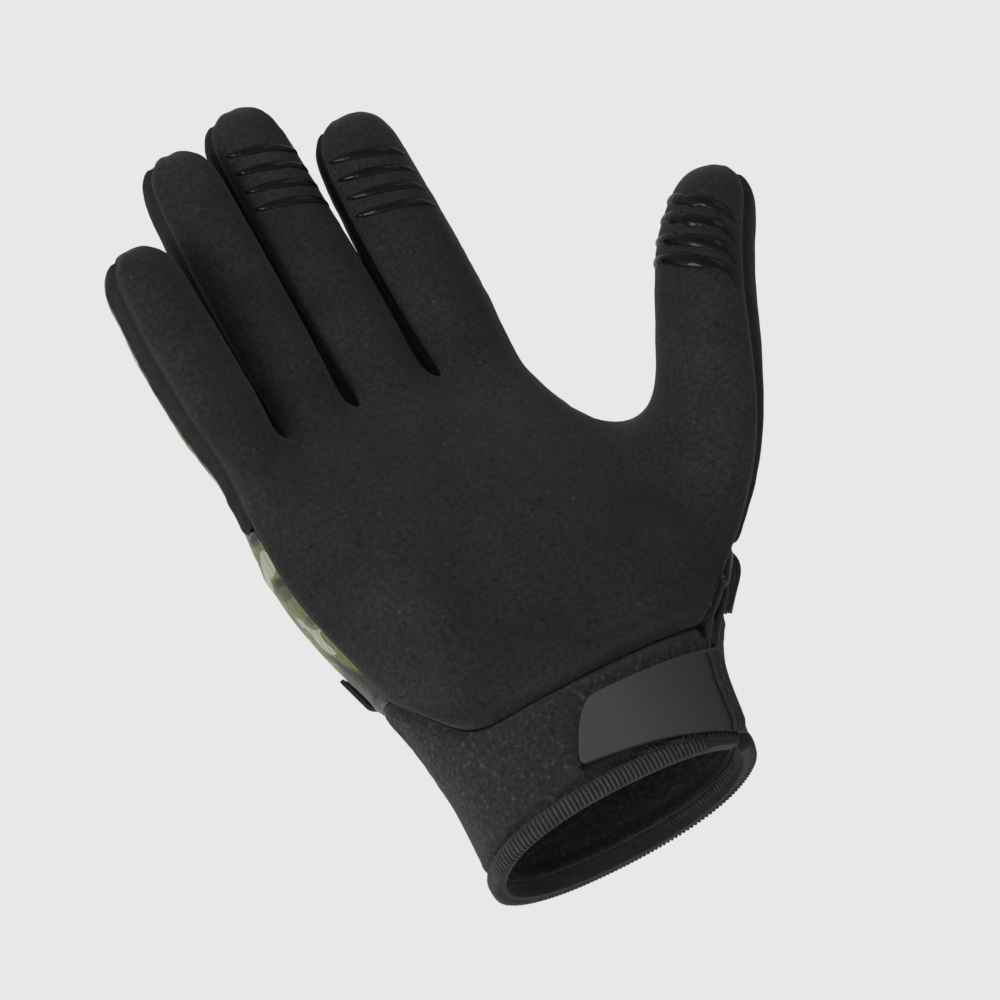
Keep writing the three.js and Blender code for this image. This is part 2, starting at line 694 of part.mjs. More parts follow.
// The strips between the fingers turn sharply at the webs, so they stay further back from their seams.
const stripInset = 1.8 * gap;
fingers.slice(0, -1).forEach((finger, i) => {
  const name = "side_strip_" + finger.name + "_" + fingers[i + 1].name;
  add(name, panelGeometry(name, sideWall, stripInset), looks.side);
});
add("cuff_palm_side", panelGeometry("cuff_palm_side", cuffWall), looks.cuff);
add("cuff_back", panelGeometry("cuff_back", cuffWall), looks.cuff);

// The hem binds the lower edge of the cuff from one side of the slit round to the other.
const hemLift = (hemWall - cuffWall) / 2;
function hemGeometry() {
  const steps = 36;
  const slit = along(seamSections, "at", 0, "slit");
  const lines = [0, 0.5, 1].map((share) => {
    const bulge = hemBulge * (1 - Math.abs(2 * share - 1));
    const curve = sectionCurve(hemHeight * share, slit, slit - 360);
    const start = slitInset(0) / curve.getLength();
    return Array.from({ length: steps + 1 }, (_, n) => {
      const at = mix(start, 1 - start, n / steps);
      const point = curve.getPointAt(at);
      const out = curve.getTangentAt(at).cross(vector(0, 0, -1)).normalize();
      return {
        outer: point.clone().addScaledVector(out, hemLift + bulge),
        inner: point.clone().addScaledVector(out, hemLift - hemWall),
      };
    }).reverse();
  });
  return plateGeometry(
    lines.map((line) => line.map((p) => p.outer)),
    lines.map((line) => line.map((p) => p.inner)),
  );
}
add("cuff_hem", hemGeometry(), looks.binding);

// A round bead binds the slit's two edges, and turns back between the two last rows below its top.
const turnStart = 0.5;
const turnTop = 0.67;
function slitBindingGeometry() {
  const last = slitRows.length - 1;
  const edge = (side) => {
    const line = slitRows.map((number, row) =>
      points[number]
        .clone()
        .addScaledVector(slitAcross(row), side * (slitHalf(row) + slitBeadRadius))
        .addScaledVector(normals[number], -slitBeadDepth),
    );
    line[last] = blend(line[last - 1], line[last], turnStart);
    return line;
  };
  const top = blend(points[slitRows[last - 1]], points[slitTop], turnTop);
  top.addScaledVector(normals[slitTop], -slitBeadDepth);
  const path = new THREE.CatmullRomCurve3([...edge(1), top, ...edge(-1).reverse()], false, "centripetal");
  const section = new THREE.Shape();
  section.absarc(0, 0, slitBeadRadius, 0, 2 * Math.PI);
  return new THREE.ExtrudeGeometry(section, {
    steps: 32,
    curveSegments: 4,
    bevelEnabled: false,
    extrudePath: path,
  });
}
add("slit_binding", slitBindingGeometry(), looks.binding);

// The closure tab starts beside the slit's back edge and lies over the palm side of the cuff.
function tabGeometry() {
  const clear = hemLift + hemBulge + gap;
  const start = slitOpening / 2 + gap;
  const bands = 4;
  const sheet = (lifted) =>
    Array.from({ length: bands + 1 }, (_, band) =>
      tabOutline.map((row) => {
        const up = mix(row.bottom, row.top, band / bands);
        const length = tabLength - tabSlant * up;
        return cuffPoint(start + length * row.along, tabBottom + tabHeight * up, lifted);
      }).reverse(),
    );
  return plateGeometry(sheet(clear + tabThickness), sheet(clear));
}
add("closure_tab", tabGeometry(), looks.rubber);

// A tape stands off the slit's back edge at its top, to pull the glove on by.
function pullLoopGeometry() {
  const from = slitInset(palmRow) + gap;
  const columns = 4;
  const sheet = (lifted) =>
    loopRows.map((row) =>
      Array.from({ length: columns + 1 }, (_, n) => {
        const away = from + (loopWidth * row.width * n) / columns;
        return cuffPoint(-away, row.height * backCuffHeight, loopStand * row.stand + lifted);
      }),
    );
  return plateGeometry(sheet(loopThickness), sheet(0));
}
add("pull_loop", pullLoopGeometry(), looks.binding);

// A folded tape is sewn into the seam over the cuff on the hand's outer side.
function sideTapeGeometry() {
  const columns = [4, 3, 2].map((back) => ringSteps - back);
  const sheet = (lifted) =>
    [0, 0.5, 1].map((share) =>
      columns.map((column) => {
        const height = backCuffHeight + sideTapeLift + sideTapeHeight * share;
        const line = hand.map((numbers) => numbers[column]);
        const row = line.findIndex((number) => points[number].z > height);
        const [below, above] = [line[row - 1], line[row]];
        const climbed = (height - points[below].z) / (points[above].z - points[below].z);
        const out = blend(normals[below], normals[above], climbed).normalize();
        return blend(points[below], points[above], climbed).addScaledVector(out, lifted);
      }),
    );
  return plateGeometry(sheet(gap + loopThickness), sheet(gap));
}
add("side_tape", sideTapeGeometry(), looks.binding);

// A point over a digit's skin: a turn round its pad and a way down from its tip, lifted off.
function padPoint(name, turn, down, lifted) {
  const { rows } = digits[name];
  const k = ((turn - firstTurn) * digitSteps) / 360;
  const column = (Math.floor(k) + digitSteps) % digitSteps;
  const next = (column + 1) % digitSteps;
  const across = k - Math.floor(k);
  const line = rows.map((row) => blend(points[row[column]], points[row[next]], across));
  const outwards = rows.map((row) => blend(normals[row[column]], normals[row[next]], across).normalize());
  let left = down - points[digits[name].pole].distanceTo(line[line.length - 1]);
  let row = line.length - 1;
  while (row > 1 && left > line[row].distanceTo(line[row - 1])) {
    left -= line[row].distanceTo(line[row - 1]);
    row -= 1;
  }
  const share = Math.max(left, 0) / line[row].distanceTo(line[row - 1]);
  return blend(line[row], line[row - 1], share).addScaledVector(
    blend(outwards[row], outwards[row - 1], share).normalize(),
    lifted,
  );
}

function stripeGeometry({ digit, first, pitch, from, to, tilt, breadth }, index) {
  const width = digit === "thumb" ? thumbWidth : fingers.find((f) => f.name === digit).width;
  const steps = 10;
  const sheet = (lifted) =>
    [1, -1].map((side) =>
      Array.from({ length: steps + 1 }, (_, n) => {
        const at = n / steps;
        const taper = mix(stripeEndShare, 1, Math.sin(Math.PI * at));
        const slope = tilt * (at - 0.5);
        const down = width * (first + pitch * index + slope + (side * breadth * taper) / 2);
        return padPoint(digit, mix(from, to, at), down, lifted);
      }),
    );
  return plateGeometry(sheet(gap + stripeThickness), sheet(gap));
}
stripeSets.forEach((set) => {
  for (let n = 0; n < set.count; n += 1) {
    add("grip_stripe_" + set.digit + "_" + (n + 1), stripeGeometry(set, n), looks.silicone);
  }
});

export default root;
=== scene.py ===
from math import cos, pi, radians, sin

import bmesh
import bpy
from mathutils import Matrix, Vector, noise
from mathutils.bvhtree import BVHTree
from mathutils.kdtree import KDTree


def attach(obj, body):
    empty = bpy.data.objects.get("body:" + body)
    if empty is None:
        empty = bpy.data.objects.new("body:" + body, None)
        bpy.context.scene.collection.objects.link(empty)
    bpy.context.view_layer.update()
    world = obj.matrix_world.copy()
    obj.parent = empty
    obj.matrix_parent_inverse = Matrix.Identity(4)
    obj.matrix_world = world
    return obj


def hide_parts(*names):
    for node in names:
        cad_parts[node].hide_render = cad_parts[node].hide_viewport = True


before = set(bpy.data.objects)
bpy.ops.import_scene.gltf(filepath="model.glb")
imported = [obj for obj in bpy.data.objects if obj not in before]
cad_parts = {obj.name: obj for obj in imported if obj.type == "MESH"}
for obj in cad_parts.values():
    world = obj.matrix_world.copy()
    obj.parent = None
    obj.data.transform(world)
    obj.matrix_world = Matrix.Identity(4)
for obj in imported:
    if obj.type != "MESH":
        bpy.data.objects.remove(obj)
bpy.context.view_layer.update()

# The view: the glove stands with its palm to the camera, which is a little below it and to its outer side
# and is rolled so that the fingers lean left. The floor lies far below, and both it and the air round the
# glove are the same pale grey.
VIEW_TURN = radians(-18)
VIEW_RISE = radians(-18)
VIEW_ROLL = radians(30)
VIEW_DISTANCE = 0.85
VIEW_CENTRE = Vector((0.014, 0, 0.092))
SENSOR = 36
LENS = 122.4
PALE_GREY = (0.807, 0.807, 0.807)
PAPER_TONES = [(0.3, (0.8, 0.8, 0.8)), (0.7, (0.815, 0.815, 0.815))]
FLOOR_SIDE = 8
FLOOR_HEIGHT = -0.8

backwards = Vector((sin(VIEW_TURN) * cos(VIEW_RISE), -cos(VIEW_TURN) * cos(VIEW_RISE), sin(VIEW_RISE)))
level_right = Vector((cos(VIEW_TURN), sin(VIEW_TURN), 0))
level_up = backwards.cross(level_right)
view_right = level_right * cos(VIEW_ROLL) - level_up * sin(VIEW_ROLL)
view_up = level_right * sin(VIEW_ROLL) + level_up * cos(VIEW_ROLL)
view_axes = Matrix((view_right, view_up, backwards)).transposed().to_4x4()
camera_data = bpy.data.cameras.new("camera")
camera_data.sensor_width = SENSOR
camera_data.lens = LENS
camera = bpy.data.objects.new("camera", camera_data)
camera.matrix_world = Matrix.Translation(VIEW_CENTRE + backwards * VIEW_DISTANCE) @ view_axes
bpy.context.scene.collection.objects.link(camera)
bpy.context.scene.camera = camera
bpy.context.scene.view_settings.view_transform = "Standard"

air = bpy.data.worlds.new("air")
air.use_nodes = True
air.node_tree.nodes["Background"].inputs["Color"].default_value = (*PALE_GREY, 1)
bpy.context.scene.world = air


def soft_light(name, right, up, toward, width, height, power):
    """A soft box on the camera's side of the glove, placed by the camera's own right, up and back."""
    data = bpy.data.lights.new(name, "AREA")
    data.shape = "RECTANGLE"
    data.size = width
    data.size_y = height
    data.energy = power
    place = VIEW_CENTRE + view_right * right + view_up * up + backwards * toward
    facing = (place - VIEW_CENTRE).to_track_quat("Z", "Y").to_matrix().to_4x4()
    light = bpy.data.objects.new(name, data)
    light.matrix_world = Matrix.Translation(place) @ facing
    bpy.context.scene.collection.objects.link(light)


soft_light("upper_light", right=0.5, up=0.9, toward=0.5, width=0.45, height=0.35, power=1.5)
soft_light("side_light", right=-0.9, up=-0.15, toward=0.9, width=0.5, height=0.7, power=17)
soft_light("low_light", right=-0.2, up=-1.0, toward=0.45, width=0.5, height=0.3, power=5)


def plain_finish(name, colour, roughness):
    """A material whose shader is returned with its node tree, ready for the finish's own nodes."""
    material = bpy.data.materials.new(name)
    material.use_nodes = True
    tree = material.node_tree
    shader = tree.nodes["Principled BSDF"]
    shader.inputs["Base Color"].default_value = (*colour, 1)
    shader.inputs["Roughness"].default_value = roughness
    return material, tree, shader


def add_node(tree, kind, settings=None, **sockets):
    """One node with its settings, each named socket given a number or linked from another node's output."""
    made = tree.nodes.new("ShaderNode" + kind)
    for name, value in (settings or {}).items():
        setattr(made, name, value)
    for name, value in sockets.items():
        socket = made.inputs[name.replace("_", " ")]
        if isinstance(value, bpy.types.NodeSocket):
            tree.links.new(value, socket)
        else:
            socket.default_value = value
    return made


def mottled(tree, coordinates, scale, detail, colours):
    """A ramp of colours over a noise, each colour with its share from 0 to 1 of the way up."""
    grain = add_node(tree, "TexNoise", Vector=coordinates, Scale=scale, Detail=detail)
    ramp = add_node(tree, "ValToRGB", Fac=grain.outputs["Fac"])
    while len(ramp.color_ramp.elements) < len(colours):
        ramp.color_ramp.elements.new(0.5)
    for element, (share, colour) in zip(ramp.color_ramp.elements, colours):
        element.position = share
        element.color = (*colour, 1)
    return grain, ramp


def finished(name, bm, finish):
    """The finished object of a bmesh, with smooth faces in one material."""
    for face in bm.faces:
        face.smooth = True
    mesh = bpy.data.meshes.new(name)
    bm.to_mesh(mesh)
    bm.free()
    mesh.materials.append(finish)
    piece = bpy.data.objects.new(name, mesh)
    bpy.context.scene.collection.objects.link(piece)
    return piece


paper, paper_tree, paper_shader = plain_finish("floor_paper", PALE_GREY, roughness=0.9)
paper_place = add_node(paper_tree, "TexCoord").outputs["Object"]
_, paper_tone = mottled(paper_tree, paper_place, scale=3, detail=2, colours=PAPER_TONES)
paper_tree.links.new(paper_tone.outputs["Color"], paper_shader.inputs["Base Color"])
bm = bmesh.new()
bmesh.ops.create_grid(
    bm, x_segments=1, y_segments=1, size=FLOOR_SIDE / 2, matrix=Matrix.Translation((0, 0, FLOOR_HEIGHT)))
floor = finished("floor", bm, paper)


# The palm panel: one piece of brushed synthetic suede that covers the palm, the fronts of the fingers and
# the front of the thumb. Its sewn edges roll inwards, it is punched with small air holes in a slanted grid,
# which are painted as dark dots of shade, and it lies in soft folds where the glove bends.
PALM_WALL = 0.0013
WELD = 0.00002
RAY_SHARE = 1.7
OPPOSED = -0.7
RIM_FACES = 5
SHARP_FOLD = radians(60)
SPUR_FOLD = radians(32)
SPUR_ROUNDS = 3
SPUR_AREA = 0.00001
SEAM_ROWS = (0.0007, 0.0012)
SEAM_ROLL = 0.0007
SEAM_ROLL_BREADTH = 0.0015
SEAM_SWELL = 0.0002
SEAM_SWELL_PLACE = (0.0026, 0.002)
SEAM_PUCKERS = (0.00016, (380, 380, 380))
PUCKERS_BEGIN = (0.0002, 0.001)
PUCKERS_END = (0.003, 0.006)
NEAREST_EDGES = 3
PALM_SWELLS = (0.0005, (45, 45, 45))
PALM_WRINKLES = (0.00012, (210, 150, 150))
HOLLOW_CREASES = (0.0003, (260, 0, 420))
HOLLOW_CENTRE = Vector((-0.015, -0.022, 0.074))
HOLLOW_RADIUS = 0.022
KNUCKLE_CREASES = (0.0003, (60, 0, 330))
KNUCKLE_PLACE = (0.124, 0.016)
FOLDS_BEGIN = (0.001, 0.006)
RIM_HEIGHT = 0.0011
RIM_PLACE = (0.0023, 0.0022)
RIM_DROP = 0.0008
RIM_DROP_BREADTH = 0.0012
RIM_TOP = (0.046, 0.054)
HOLE_PITCH = 0.0109
HOLE_RADIUS = 0.0004
HOLE_EDGE = (0.8 * HOLE_RADIUS / HOLE_PITCH, 1.5 * HOLE_RADIUS / HOLE_PITCH)
HOLE_TURN = radians(-27)
HOLE_SHIFT = (0.191, 0.163, 0)
SUEDE_TONES = [(0.3, (0.0066, 0.0066, 0.0066)), (0.7, (0.0108, 0.0108, 0.0109))]
FLECK_PITCH = 0.0045


def patch_areas(faces):
    """The area of each face's patch, which is all the faces that soft folds join to it. The few faces of a
    piece of rim are left out."""
    left = dict.fromkeys(faces)
    areas = {}
    while left:
        patch = [left.popitem()[0]]
        for face in patch:
            for edge in face.edges:
                for other in edge.link_faces:
                    if other in left and edge.calc_face_angle() < SHARP_FOLD:
                        del left[other]
                        patch.append(other)
        if len(patch) > RIM_FACES:
            areas.update(dict.fromkeys(patch, sum(face.calc_area() for face in patch)))
    return areas


def outer_face(node, wall):
    """A panel's outer face alone. Rays into the wall tell its two faces from the rim, where the wall is far
    deeper than it is thick, and of two patches that back each other the larger is the outer one. Spurs of
    the rim that still hang on it are cut off."""
    bm = bmesh.new()
    bm.from_mesh(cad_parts[node].data)
    bmesh.ops.remove_doubles(bm, verts=bm.verts, dist=WELD)
    bm.faces.ensure_lookup_table()
    tree = BVHTree.FromBMesh(bm)
    behind = {}
    for face in bm.faces:
        start = face.calc_center_median() - face.normal * WELD
        _, normal, number, _ = tree.ray_cast(start, -face.normal, wall * RAY_SHARE)
        if normal is not None and normal.dot(face.normal) < OPPOSED:
            behind[face] = bm.faces[number]
    areas = patch_areas(behind)
    outer = {face for face in areas if areas[face] > areas.get(behind[face], 0)}
    inner_points = {vert for face in areas if face not in outer for vert in face.verts}
    outer |= {face for face in bm.faces if inner_points.isdisjoint(face.verts)}
    for _ in range(SPUR_ROUNDS):
        held = {face: [edge for edge in face.edges if outer.issuperset(edge.link_faces)] for face in outer}
        outer -= {face for face in outer if len(held[face]) < 2 and all(
            edge.calc_face_angle() > SPUR_FOLD for edge in held[face])}
    bmesh.ops.delete(bm, geom=[face for face in bm.faces if face not in outer], context="FACES")
    bmesh.ops.join_triangles(bm, faces=bm.faces, angle_face_threshold=pi, angle_shape_threshold=pi)
    spurs = [face for face in bm.faces if len(face.verts) == 3 and face.calc_area() < SPUR_AREA
             and sum(edge.is_boundary for edge in face.edges) == 2]
    bmesh.ops.delete(bm, geom=spurs, context="FACES")
    return bm


def refined(bm, levels):
    """The same face after smooth subdivision, as a new bmesh."""
    mesh = bpy.data.meshes.new("coarse")
    bm.to_mesh(mesh)
    bm.free()
    coarse = bpy.data.objects.new("coarse", mesh)
    bpy.context.scene.collection.objects.link(coarse)
    smoother = coarse.modifiers.new("smooth", "SUBSURF")
    smoother.levels = levels
    smoother.render_levels = levels
    fine = bpy.data.meshes.new_from_object(coarse.evaluated_get(bpy.context.evaluated_depsgraph_get()))
    smooth = bmesh.new()
    smooth.from_mesh(fine)
    bpy.data.objects.remove(coarse)
    bpy.data.meshes.remove(fine)
    bpy.data.meshes.remove(mesh)
    return smooth


def seam_distances(bm):
    """How far each point of an open face is from its nearest sewn edge."""
    edges = [[vert.co.copy() for vert in edge.verts] for edge in bm.edges if edge.is_boundary]
    tree = KDTree(len(edges))
    for number, (start, end) in enumerate(edges):
        tree.insert((start + end) / 2, number)
    tree.balance()
    distances = {}
    for vert in bm.verts:
        near = []
        for _, number, _ in tree.find_n(vert.co, NEAREST_EDGES):
            start, end = edges[number]
            length = end - start
            share = max(0.0, min(1.0, (vert.co - start).dot(length) / length.length_squared))
            near.append((vert.co - start.lerp(end, share)).length)
        distances[vert] = min(near)
    return distances


def ease(value, start, end):
    """A smooth rise from 0 at start to 1 at end."""
    share = max(0.0, min(1.0, (value - start) / (end - start)))
    return share * share * (3 - 2 * share)


def hump(value, middle, width):
    """A smooth hump of height 1 round a middle, down to 0 at a width from it."""
    return 1 - ease(abs(value - middle), 0, width)


def folds(place, kind):
    """Uneven folds of one kind, given by their height and by how close they lie along each axis."""
    height, closeness = kind
    return height * noise.noise(place * Vector(closeness))


def seam_relief(place, distance):
    """How far cloth stands out near a seam: it rolls in at the edge, swells over the seam's turned-in
    allowance and puckers a little beside the stitches."""
    roll = -SEAM_ROLL * (1 - ease(distance, 0, SEAM_ROLL_BREADTH))
    swell = SEAM_SWELL * hump(distance, *SEAM_SWELL_PLACE)
    puckers = folds(place, SEAM_PUCKERS) * ease(distance, *PUCKERS_BEGIN) * (1 - ease(distance, *PUCKERS_END))
    return roll + swell + puckers


def thickened(piece, wall):
    """Gives a piece of cloth or tape its thickness, inwards from its outer face."""
    thickness = piece.modifiers.new("thickness", "SOLIDIFY")
    thickness.thickness = wall
    thickness.offset = -1


def sewn_panel(name, node, wall, levels, relief, finish):
    """A panel of the glove: the solid's outer face made smooth, given its folds and then its thickness."""
    bm = outer_face(node, wall)
    middle = bm.faces[:]
    for breadth in SEAM_ROWS:
        row = bmesh.ops.inset_region(
            bm, faces=middle, thickness=breadth, use_boundary=True, use_even_offset=True)["faces"]
        middle = [face for face in middle if face not in row]
    bm = refined(bm, levels)
    for vert, distance in seam_distances(bm).items():
        vert.co += vert.normal * (relief(vert.co, distance) + seam_relief(vert.co, distance))
    piece = finished(name, bm, finish)
    thickened(piece, wall)
    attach(piece, "root")
    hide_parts(node)
    return piece


def palm_relief(place, distance):
    """Soft folds across the palm, small creases in its hollow and where the fingers bend, and the full rim
    over the seam at the palm's lower edge."""
    all_over = folds(place, PALM_SWELLS) + folds(place, PALM_WRINKLES)
    hollow = hump((place - HOLLOW_CENTRE).length, 0, HOLLOW_RADIUS) * folds(place, HOLLOW_CREASES)
    knuckles = hump(place.z, *KNUCKLE_PLACE) * folds(place, KNUCKLE_CREASES)
    rim = RIM_HEIGHT * hump(distance, *RIM_PLACE) - RIM_DROP * (1 - ease(distance, 0, RIM_DROP_BREADTH))
    rim *= 1 - ease(place.z, *RIM_TOP)
    return (all_over + hollow + knuckles) * ease(distance, *FOLDS_BEGIN) + rim


def stretched(tree, value, start, end, before, after):
    """A number for values under the start, another for those over the end, and an even run between them."""
    made = add_node(tree, "MapRange", Value=value, From_Min=start, From_Max=end, To_Min=before, To_Max=after)
    return made.outputs["Result"]


def product(tree, one, other):
    """One value times another."""
    made = add_node(tree, "Math", {"operation": "MULTIPLY"}, Value=one)
    tree.links.new(other, made.inputs[1])
    return made.outputs["Value"]


def shaded(tree, colour, factor):
    """A colour made darker or lighter by a factor."""
    return add_node(tree, "VectorMath", {"operation": "SCALE"}, Vector=colour, Scale=factor).outputs["Vector"]


def embossed(tree, shader, height, distance, strength):
    """Gives a finish its fine relief, from a height of 0 to 1."""
    relief = add_node(tree, "Bump", Height=height, Distance=distance, Strength=strength)
    tree.links.new(relief.outputs["Normal"], shader.inputs["Normal"])


suede, suede_tree, suede_shader = plain_finish("palm_suede", (0.02, 0.02, 0.02), roughness=0.92)
suede_shader.inputs["Sheen Weight"].default_value = 0.05
suede_shader.inputs["Sheen Roughness"].default_value = 0.5
suede_shader.inputs["Specular IOR Level"].default_value = 0.15
suede_place = add_node(suede_tree, "TexCoord").outputs["Object"]
_, suede_tone = mottled(suede_tree, suede_place, scale=55, detail=5, colours=SUEDE_TONES)
suede_nap = add_node(suede_tree, "TexNoise", Vector=suede_place, Scale=1000, Detail=5).outputs["Fac"]
suede_brushing = add_node(suede_tree, "TexNoise", Vector=suede_place, Scale=24, Detail=2).outputs["Fac"]
suede_flecks = add_node(
    suede_tree, "TexVoronoi", Vector=suede_place, Scale=1 / FLECK_PITCH).outputs["Distance"]
suede_light = product(
    suede_tree, stretched(suede_tree, suede_nap, start=0.3, end=0.7, before=0.55, after=1.5),
    stretched(suede_tree, suede_brushing, start=0.35, end=0.65, before=0.85, after=1.15))
fleck_light = stretched(suede_tree, suede_flecks, start=0.06, end=0.11, before=2.1, after=1)
suede_light = product(suede_tree, suede_light, fleck_light)
# The air holes are painted, not cut: dark dots of painted shade in a slanted grid, fainter up the fingers.
hole_grid = add_node(
    suede_tree, "Mapping", Vector=suede_place, Location=HOLE_SHIFT, Rotation=(pi / 2, 0, HOLE_TURN),
    Scale=(1 / HOLE_PITCH, 1 / HOLE_PITCH, 1 / HOLE_PITCH)).outputs["Vector"]
holes = add_node(
    suede_tree, "TexVoronoi", {"voronoi_dimensions": "2D"}, Vector=hole_grid, Scale=1,
    Randomness=0.09).outputs["Distance"]
suede_height = add_node(suede_tree, "SeparateXYZ", Vector=suede_place).outputs["Z"]
hole_tone = stretched(suede_tree, suede_height, start=0.1, end=0.13, before=0.45, after=0.85)
hole_shade = stretched(suede_tree, holes, *HOLE_EDGE, before=hole_tone, after=1)
suede_colour = shaded(suede_tree, shaded(suede_tree, suede_tone.outputs["Color"], suede_light), hole_shade)
suede_tree.links.new(suede_colour, suede_shader.inputs["Base Color"])
embossed(suede_tree, suede_shader, suede_nap, distance=0.0002, strength=0.5)

palm = sewn_panel(
    "palm_suede_panel", "palm_panel", PALM_WALL, levels=2, relief=palm_relief, finish=suede)


# The back panel: one thin stretch knit over the glove's back, printed in a camouflage of sage, olive and
# near-black blotches. It is sewn to the palm along the glove's outer side and to the strips between the
# fingers, and a corner of it beside the slit stays black.
BACK_WALL = 0.0012
PRINT_TONES = [
    (0.0, (0.011, 0.011, 0.008)), (0.4, (0.04, 0.043, 0.018)), (0.49, (0.085, 0.088, 0.034)),
    (0.58, (0.22, 0.22, 0.17))]
BLACK_FROM_X = (0.024, 0.026)
BLACK_TO_Y = (0.003, 0.0034)
BLACK_TO_Z = (0.068, 0.07)
KNIT_PITCH = 0.0009
ROW_SHARE = 0.7
WAVE_PERIOD = pi / 10
BACK_RIPPLES = (0.00025, (60, 60, 60))
GATHERS = (0.0011, (0, 0, 130))
GATHERS_LIFT = 0.0004
GATHERED_SIDE = (0.04, 0.052)
GATHERED_HEIGHT = (0.085, 0.1)


def back_relief(place, distance):
    """The thin knit is pulled tight, with low ripples over the knuckles, and it gathers in small folds beside
    the little finger's outer seam."""
    gathers = ease(-place.x, *GATHERED_SIDE) * ease(place.z, *GATHERED_HEIGHT)
    gathers *= GATHERS_LIFT + folds(place, GATHERS)
    return (folds(place, BACK_RIPPLES) + gathers) * ease(distance, *FOLDS_BEGIN)


def knitted(tree, shader, place, pitch, depth):
    """The relief of a fine rib knit: upright ribs crossed by the rows of its loops."""
    ribs = add_node(
        tree, "TexWave", {"bands_direction": "X"}, Vector=place, Scale=WAVE_PERIOD / pitch,
        Distortion=1.5, Detail=1)
    rows = add_node(
        tree, "TexWave", {"bands_direction": "Z"}, Vector=place, Scale=WAVE_PERIOD / (pitch * ROW_SHARE),
        Distortion=1.5, Detail=1)
    loops = product(tree, ribs.outputs["Fac"], rows.outputs["Fac"])
    embossed(tree, shader, loops, distance=depth, strength=0.6)
    return loops


camouflage, print_tree, print_shader = plain_finish("back_print", (0.1, 0.1, 0.05), roughness=0.85)
print_shader.inputs["Sheen Weight"].default_value = 0.2
print_place = add_node(print_tree, "TexCoord").outputs["Object"]
print_patches, print_tone = mottled(print_tree, print_place, scale=85, detail=1.5, colours=PRINT_TONES)
print_patches.inputs["Distortion"].default_value = 1.2
print_tone.color_ramp.interpolation = "CONSTANT"
print_loops = knitted(print_tree, print_shader, print_place, KNIT_PITCH, depth=0.0002)
print_axes = add_node(print_tree, "SeparateXYZ", Vector=print_place).outputs
beside_slit = product(
    print_tree, stretched(print_tree, print_axes["X"], *BLACK_FROM_X, before=0, after=1),
    stretched(print_tree, print_axes["Z"], *BLACK_TO_Z, before=1, after=0))
near_palm = stretched(print_tree, print_axes["Y"], *BLACK_TO_Y, before=1, after=0)
unprinted = product(print_tree, beside_slit, near_palm)
print_light = product(
    print_tree, stretched(print_tree, print_loops, start=0, end=1, before=0.7, after=1.1),
    stretched(print_tree, unprinted, start=0, end=1, before=1, after=0.03))
print_colour = shaded(print_tree, print_tone.outputs["Color"], print_light)
print_tree.links.new(print_colour, print_shader.inputs["Base Color"])

sewn_panel(
    "back_print_panel", "back_panel", BACK_WALL, levels=2, relief=back_relief, finish=camouflage)


# The sides: strips of plain black knit between the fingers, a longer one down the little finger's outer side,
# and a black panel of the same knit over the thumb's back. All are sewn in between the palm and the back.
SIDE_WALL = 0.0011
SIDE_TONES = [(0.3, (0.0052, 0.0052, 0.0054)), (0.7, (0.0095, 0.0095, 0.0098))]
SIDE_GATHERS = (0.0002, (60, 60, 170))
SIDE_GATHERS_BEGIN = (0.0005, 0.004)
WEB_SLACK = 0.0011
WEB_TOP = (0.15, 0.175)
OUTER_GATHERS = (0.0008, (40, 40, 210))
OUTER_GATHERS_BEGIN = (0.0005, 0.003)


def side_relief(place, distance):
    """Strips gather a little across their length."""
    return folds(place, SIDE_GATHERS) * ease(distance, *SIDE_GATHERS_BEGIN)


def web_relief(place, distance):
    """The strips between the fingers are slack near the webs, where they fill the gaps."""
    slack = WEB_SLACK * (1 - ease(place.z, *WEB_TOP))
    return side_relief(place, distance) + slack * ease(distance, *SIDE_GATHERS_BEGIN)


def outer_relief(place, distance):
    """The strip along the little finger is gathered by its seams into short folds."""
    return folds(place, OUTER_GATHERS) * ease(distance, *OUTER_GATHERS_BEGIN)


side_knit, side_tree, side_shader = plain_finish("side_knit", (0.012, 0.012, 0.012), roughness=0.85)
side_shader.inputs["Specular IOR Level"].default_value = 0.15
side_place = add_node(side_tree, "TexCoord").outputs["Object"]
_, side_tone = mottled(side_tree, side_place, scale=300, detail=3, colours=SIDE_TONES)
side_tree.links.new(side_tone.outputs["Color"], side_shader.inputs["Base Color"])
knitted(side_tree, side_shader, side_place, KNIT_PITCH, depth=0.00025)

for strip in ("side_strip_little_ring", "side_strip_ring_middle", "side_strip_middle_index"):
    sewn_panel(
        strip + "_knit", strip, SIDE_WALL, levels=2, relief=web_relief, finish=side_knit)
sewn_panel(
    "outer_side_strip_knit", "outer_side_strip", SIDE_WALL, levels=3, relief=outer_relief, finish=side_knit)
sewn_panel(
    "thumb_back_knit", "thumb_back", BACK_WALL, levels=2, relief=side_relief, finish=side_knit)


# The cuff: a thick brushed loop cloth, which the closure's hooks hold on. One piece goes round the palm side
# and the outer side, the other covers the back and ends at the slit in a folded edge.
CUFF_WALL = 0.002
CUFF_TONES = [(0.35, (0.007, 0.007, 0.007)), (0.6, (0.0138, 0.0138, 0.0138)), (0.72, (0.032, 0.032, 0.032))]
CUFF_SWELLS = (0.0003, (70, 70, 70))
CUFF_LOOPS = (0.00008, (900, 900, 900))
CUFF_DIP = 0.0005
CUFF_DIP_BREADTH = 0.003


def cuff_relief(place, distance):
    """The brushed loops stand up unevenly over slow swells of the cloth, which dips towards its seams."""
    dip = CUFF_DIP * (1 - ease(distance, 0, CUFF_DIP_BREADTH))
    return folds(place, CUFF_SWELLS) + folds(place, CUFF_LOOPS) - dip


